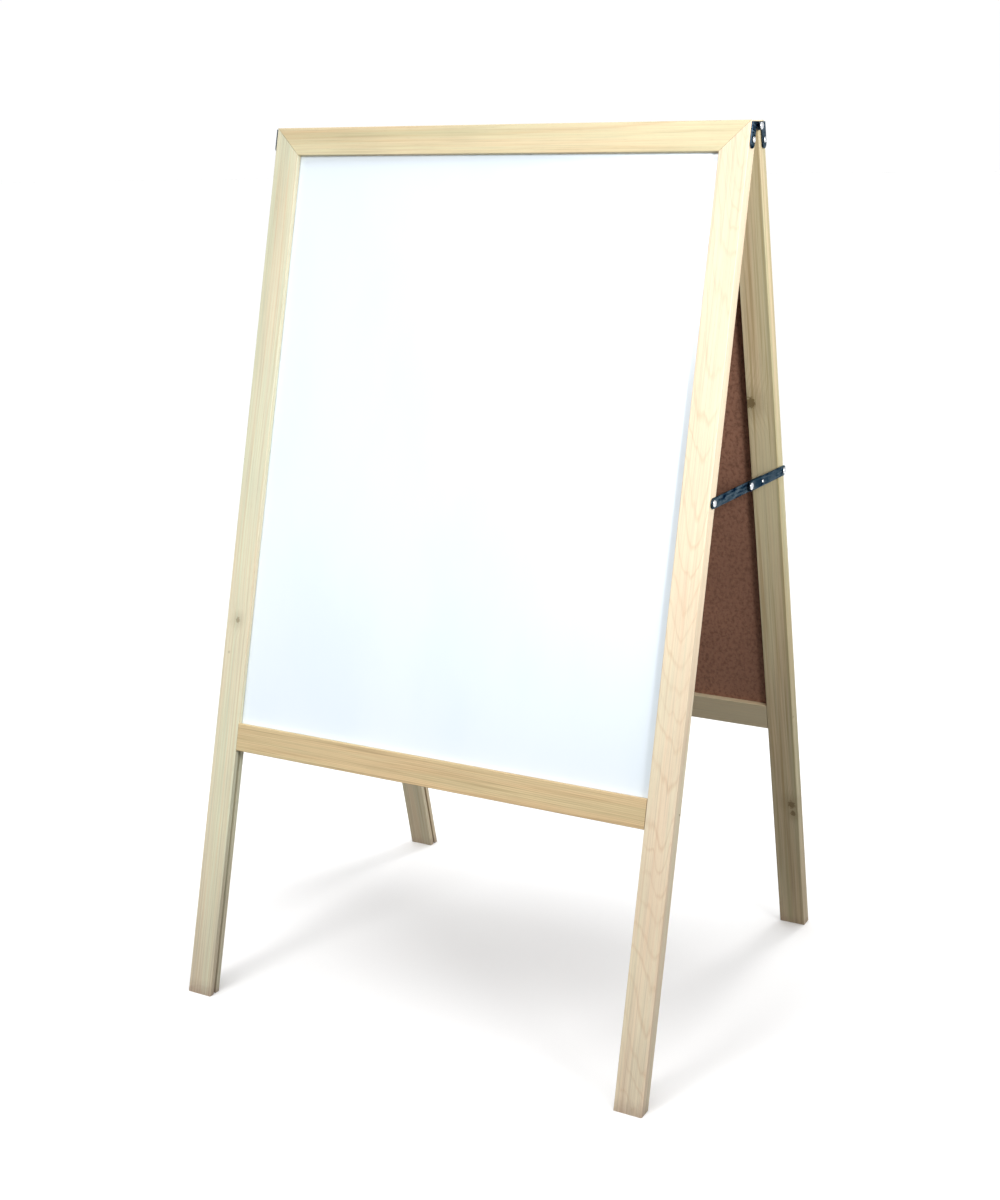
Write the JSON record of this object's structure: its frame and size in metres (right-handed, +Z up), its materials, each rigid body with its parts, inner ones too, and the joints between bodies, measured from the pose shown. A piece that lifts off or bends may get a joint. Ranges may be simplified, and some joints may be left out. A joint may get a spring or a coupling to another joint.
{
  "type": "sandwich board",
  "caption": "Free-standing wooden sandwich board: two hinged frames with white marker boards, held open by folding steel stays.",
  "frame": {"origin": "on the floor, midway between the four feet, with the board standing open", "axes": "+Z up; the front writing surface faces -Y; +X is the right-hand side for someone who reads the front"},
  "size_m": [0.622, 0.5494, 1.0353],
  "materials": {
    "wood": "clear satin poplar",
    "marker_board": "white melamine face on 3.2 mm hardboard",
    "dark_steel": "blued, satin",
    "bright_steel": "bright zinc plate"
  },
  "bodies": {
    "front_frame": {"front_top_rail": "wood", "front_bottom_rail": "wood", "front_marker_board": "marker_board", "front_left_stile": "wood", "front_left_rail_brad": "bright_steel", "front_left_mitre_brad": "bright_steel", "front_left_hinge_leaf": "dark_steel", "front_left_hinge_screw": "bright_steel", "front_left_stay_screw": "bright_steel", "front_right_stile": "wood", "front_right_rail_brad": "bright_steel", "front_right_mitre_brad": "bright_steel", "front_right_hinge_leaf": "dark_steel", "front_right_hinge_screw": "bright_steel", "front_right_stay_screw": "bright_steel", "left_hinge_rivet": "bright_steel", "right_hinge_rivet": "bright_steel"},
    "rear_frame": {"rear_top_rail": "wood", "rear_bottom_rail": "wood", "rear_marker_board": "marker_board", "rear_left_stile": "wood", "rear_left_rail_brad": "bright_steel", "rear_left_mitre_brad": "bright_steel", "rear_left_hinge_leaf": "dark_steel", "rear_left_hinge_screw": "bright_steel", "rear_left_stay_screw": "bright_steel", "rear_right_stile": "wood", "rear_right_rail_brad": "bright_steel", "rear_right_mitre_brad": "bright_steel", "rear_right_hinge_leaf": "dark_steel", "rear_right_hinge_screw": "bright_steel", "rear_right_stay_screw": "bright_steel", "left_stay_spacer": "bright_steel", "right_stay_spacer": "bright_steel"},
    "left_front_stay": {"front_left_stay_arm": "dark_steel", "left_elbow_rivet_tail": "bright_steel"},
    "left_rear_stay": {"rear_left_stay_arm": "dark_steel", "left_elbow_rivet": "bright_steel", "left_lock_stud": "bright_steel"},
    "right_front_stay": {"front_right_stay_arm": "dark_steel", "right_elbow_rivet_tail": "bright_steel"},
    "right_rear_stay": {"rear_right_stay_arm": "dark_steel", "right_elbow_rivet": "bright_steel", "right_lock_stud": "bright_steel"}
  },
  "joints": [
    {"name": "fold", "type": "hinge", "parent": "front_frame", "child": "rear_frame", "pos_m": [0, 0, 1.02893], "axis": [-1, 0, 0], "range_deg": [0, 27.8]},
    {"name": "right_front_stay_pivot", "type": "hinge", "parent": "front_frame", "child": "right_front_stay", "pos_m": [0.30595, -0.10758, 0.63896], "axis": [1, 0, 0], "range_deg": [0, 70.39]},
    {"name": "right_rear_stay_pivot", "type": "hinge", "parent": "rear_frame", "child": "right_rear_stay", "pos_m": [0.30775, 0.10758, 0.63896], "axis": [-1, 0, 0], "range_deg": [0, 70.39]},
    {"name": "left_front_stay_pivot", "type": "hinge", "parent": "front_frame", "child": "left_front_stay", "pos_m": [-0.30595, -0.10758, 0.63896], "axis": [1, 0, 0], "range_deg": [0, 70.39]},
    {"name": "left_rear_stay_pivot", "type": "hinge", "parent": "rear_frame", "child": "left_rear_stay", "pos_m": [-0.30775, 0.10758, 0.63896], "axis": [-1, 0, 0], "range_deg": [0, 70.39]}
  ],
  "couplings": [
    {"joint": "right_front_stay_pivot", "follows": "fold", "ratio": 2.5311},
    {"joint": "right_rear_stay_pivot", "follows": "fold", "ratio": 2.5311},
    {"joint": "left_front_stay_pivot", "follows": "fold", "ratio": 2.5311},
    {"joint": "left_rear_stay_pivot", "follows": "fold", "ratio": 2.5311}
  ]
}
